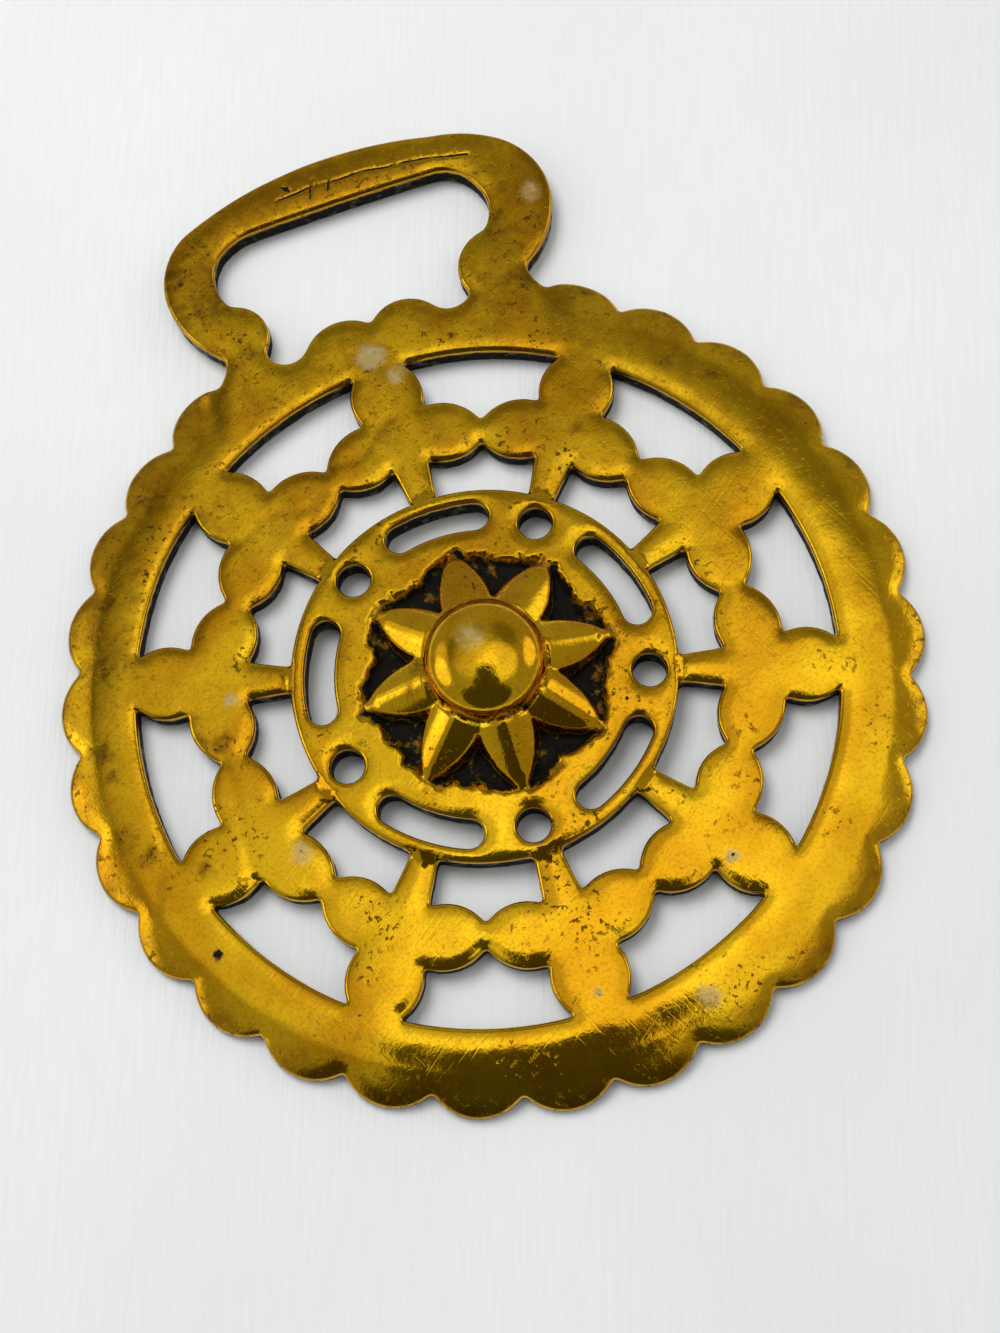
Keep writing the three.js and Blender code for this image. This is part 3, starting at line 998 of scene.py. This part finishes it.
def lay_floor(setting):
    mesh = bpy.data.meshes.new("cloth")
    half = CLOTH_HALF
    mesh.from_pydata(
        [(x, y, CLOTH_Z) for x, y in ((-half, -half), (half, -half), (half, half), (-half, half))],
        [], [(0, 1, 2, 3)],
    )
    mesh.materials.append(bleached_woven_cotton(setting))
    floor = bpy.data.objects.new("floor", mesh)
    bpy.context.collection.objects.link(floor)


def hang_key_light(setting):
    lamp = bpy.data.lights.new("key_panel", "AREA")
    lamp.shape = "DISK"
    lamp.size = KEY_SIZE
    lamp.energy = setting.key
    light = bpy.data.objects.new("key_panel", lamp)
    light.location = KEY_FROM * KEY_AWAY
    light.rotation_euler = KEY_FROM.to_track_quat("Z", "Y").to_euler()
    light.visible_glossy = False
    bpy.context.collection.objects.link(light)


def stand_camera(setting):
    target = Vector(setting.camera_aim)
    back = direction(setting.camera_compass, math.degrees(setting.camera_height))
    camera = bpy.data.cameras.new("camera")
    camera.lens = setting.camera_lens
    camera.sensor_width = 36.0
    stand = bpy.data.objects.new("camera", camera)
    place = Matrix.Translation(target + back * setting.camera_distance)
    turn = back.to_track_quat("Z", "Y").to_matrix().to_4x4()
    roll = Matrix.Rotation(setting.camera_roll, 4, "Z")
    stand.matrix_world = place @ turn @ roll
    camera.clip_start = 0.01
    camera.clip_end = 10
    bpy.context.collection.objects.link(stand)
    bpy.context.scene.camera = stand


# ---------------------------------------------------------------- settings

def length(name, description, default, digits=5):
    return bpy.props.FloatProperty(
        name=name, description=description, default=default, min=0.0,
        precision=digits, subtype="DISTANCE", unit="LENGTH",
    )


def colour(name, description, code):
    return bpy.props.FloatVectorProperty(
        name=name, description=description, default=linear(code), size=3,
        min=0.0, max=1.0, subtype="COLOR",
    )


class BrassShape(bpy.types.PropertyGroup):
    bevel_width: length("Bevel width", "How far in the filed slope along the edges reaches", 1.15 * MM)
    bevel_depth: length("Bevel depth", "How far that slope falls", 0.12 * MM)
    round_width: length("Edge rounding width", "How far in the worn edges are rounded", 0.32 * MM)
    round_depth: length("Edge rounding depth", "How far down the worn edges are rounded", 0.26 * MM)
    cushion: length("Cushion", "How far the faces swell between their edges", 0.06 * MM)
    rim_lean: bpy.props.FloatProperty(
        name="Rim lean", description="Outward lean of the rim where the scallops begin",
        default=math.radians(8.5), subtype="ANGLE",
    )
    scallop_lean: bpy.props.FloatProperty(
        name="Scallop lean", description="Outward lean of the scallops",
        default=math.radians(16), subtype="ANGLE",
    )
    centre_crown: length("Centre crown", "Rise of the centre plate at its middle", 0.15 * MM)
    ridge_slope: bpy.props.FloatProperty(
        name="Ridge slope", description="Fall of a petal's ridge from the boss to its tip",
        default=math.radians(24), subtype="ANGLE",
    )
    petal_fall: length("Petal fall", "Fall from a petal's ridge to its edge", 1.15 * MM)
    flank_slope: bpy.props.FloatProperty(
        name="Flank slope", description="Steepness of the petals' flanks", default=3.2, min=0.5, max=10,
    )
    boss_rise: length("Boss rise", "Height of the domed boss over its foot", 3.3 * MM)
    boss_squareness: bpy.props.FloatProperty(
        name="Boss squareness", description="2 is a round dome, more has a flatter top",
        default=2.3, min=1.5, max=5,
    )
    unevenness: length("Unevenness", "Slow waves left by casting and filing", 0.04 * MM)
    crease_depth: length("Crease depth", "Depth of the old polishing creases", 0.05 * MM)
    hairline_depth: length("Hairline depth", "Depth of the hairline and nicks on the loop", 0.05 * MM)
    plan_warp: length("Plan warp", "How far the outline wanders from true", 0.10 * MM)


class BrassFinish(bpy.types.PropertyGroup):
    brass: colour("Brass", "Buffed yellow brass", "E4B41A")
    deep_brass: colour("Deep brass", "Warmer areas of the brass", "CB9212")
    # This brown is also painted as shade towards the loop and along the scallops' foot.
    tarnish_and_shade: colour("Tarnish", "Brown tarnish", "7A5414")
    pit: colour("Pits", "Dark flecks and pits", "3C280F")
    bloom: colour("Bloom", "Pale corrosion", "B9A878")
    # This black is also painted as shade on the walls.
    grime_and_shade: colour("Grime", "Old polish and dirt in the hollows", "15120C")
    # This green-grey is partly a painted reflection of the pale floor.
    verdigris_and_reflection: colour("Verdigris", "Green-grey skin on the walls", "3C4438")
    roughness: bpy.props.FloatProperty(
        name="Roughness", description="Roughness of the buffed brass", default=0.08, min=0.02, max=1,
        subtype="FACTOR",
    )


class BrassStage(bpy.types.PropertyGroup):
    floor: colour("Floor", "The pale cloth that the brass lies on", "F1F3F2")
    room: bpy.props.FloatProperty(
        name="Room", description="Brightness of the room between the panels", default=0.42, min=0.0,
    )
    key: bpy.props.FloatProperty(
        name="Key light", description="Power of the key light",
        default=1.9, min=0.0, subtype="POWER", unit="POWER",
    )
    camera_aim: bpy.props.FloatVectorProperty(
        name="Camera aim", description="Where the camera looks", default=(0.00149, 0.00006, 0.0024),
        size=3, precision=5, subtype="TRANSLATION", unit="LENGTH",
    )
    camera_compass: bpy.props.FloatProperty(
        name="Camera compass", description="Side that the camera stands on, in degrees from +X",
        default=266.77,
    )
    camera_height: bpy.props.FloatProperty(
        name="Camera height", description="Angle of the camera over the table", default=math.radians(72.72),
        subtype="ANGLE",
    )
    camera_roll: bpy.props.FloatProperty(
        name="Camera roll", description="Turn of the camera about its own line of sight",
        default=math.radians(-14.08), subtype="ANGLE",
    )
    camera_distance: length("Camera distance", "From the aim to the camera", 0.17447, 4)
    camera_lens: bpy.props.FloatProperty(
        name="Lens", description="Focal length on a 36 mm sensor", default=54.42, min=1, unit="CAMERA",
    )


# ---------------------------------------------------------------- operators

class HORSE_BRASS_OT_casting(bpy.types.Operator):
    """Model the casting and give it its worn finish"""

    bl_idname = "horse_brass.casting"
    bl_label = "Cast Brass"

    def execute(self, context):
        mesh = casting_mesh(context.scene.brass_shape)
        mesh.materials.append(cast_buffed_brass(context.scene.brass_finish))
        piece = bpy.data.objects.new("horse_brass_dressed", mesh)
        context.collection.objects.link(piece)
        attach(piece, "root")
        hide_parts(NODE)
        return {"FINISHED"}


class HORSE_BRASS_OT_stage(bpy.types.Operator):
    """Lay the cloth, hang the lights and stand the camera"""

    bl_idname = "horse_brass.stage"
    bl_label = "Table and Light"

    def execute(self, context):
        setting = context.scene.brass_stage
        lay_floor(setting)
        surround(setting)
        hang_key_light(setting)
        stand_camera(setting)
        context.scene.view_settings.view_transform = "Standard"
        return {"FINISHED"}


class HORSE_BRASS_PT_panel(bpy.types.Panel):
    bl_label = "Horse Brass"
    bl_idname = "HORSE_BRASS_PT_panel"
    bl_space_type = "VIEW_3D"
    bl_region_type = "UI"
    bl_category = "Horse Brass"

    def draw(self, context):
        scene = context.scene
        for settings, operator in (
            ((scene.brass_shape, scene.brass_finish), HORSE_BRASS_OT_casting),
            ((scene.brass_stage,), HORSE_BRASS_OT_stage),
        ):
            box = self.layout.box()
            for group in settings:
                for name in group.__annotations__:
                    box.prop(group, name)
            box.operator(operator.bl_idname)


CLASSES = (
    BrassShape, BrassFinish, BrassStage,
    HORSE_BRASS_OT_casting, HORSE_BRASS_OT_stage, HORSE_BRASS_PT_panel,
)


def register():
    for cls in CLASSES:
        bpy.utils.register_class(cls)
    bpy.types.Scene.brass_shape = bpy.props.PointerProperty(type=BrassShape)
    bpy.types.Scene.brass_finish = bpy.props.PointerProperty(type=BrassFinish)
    bpy.types.Scene.brass_stage = bpy.props.PointerProperty(type=BrassStage)


def unregister():
    del bpy.types.Scene.brass_shape
    del bpy.types.Scene.brass_finish
    del bpy.types.Scene.brass_stage
    for cls in reversed(CLASSES):
        bpy.utils.unregister_class(cls)


def main():
    register()
    bpy.ops.horse_brass.stage()
    bpy.ops.horse_brass.casting()


if __name__ == "__main__":
    main()
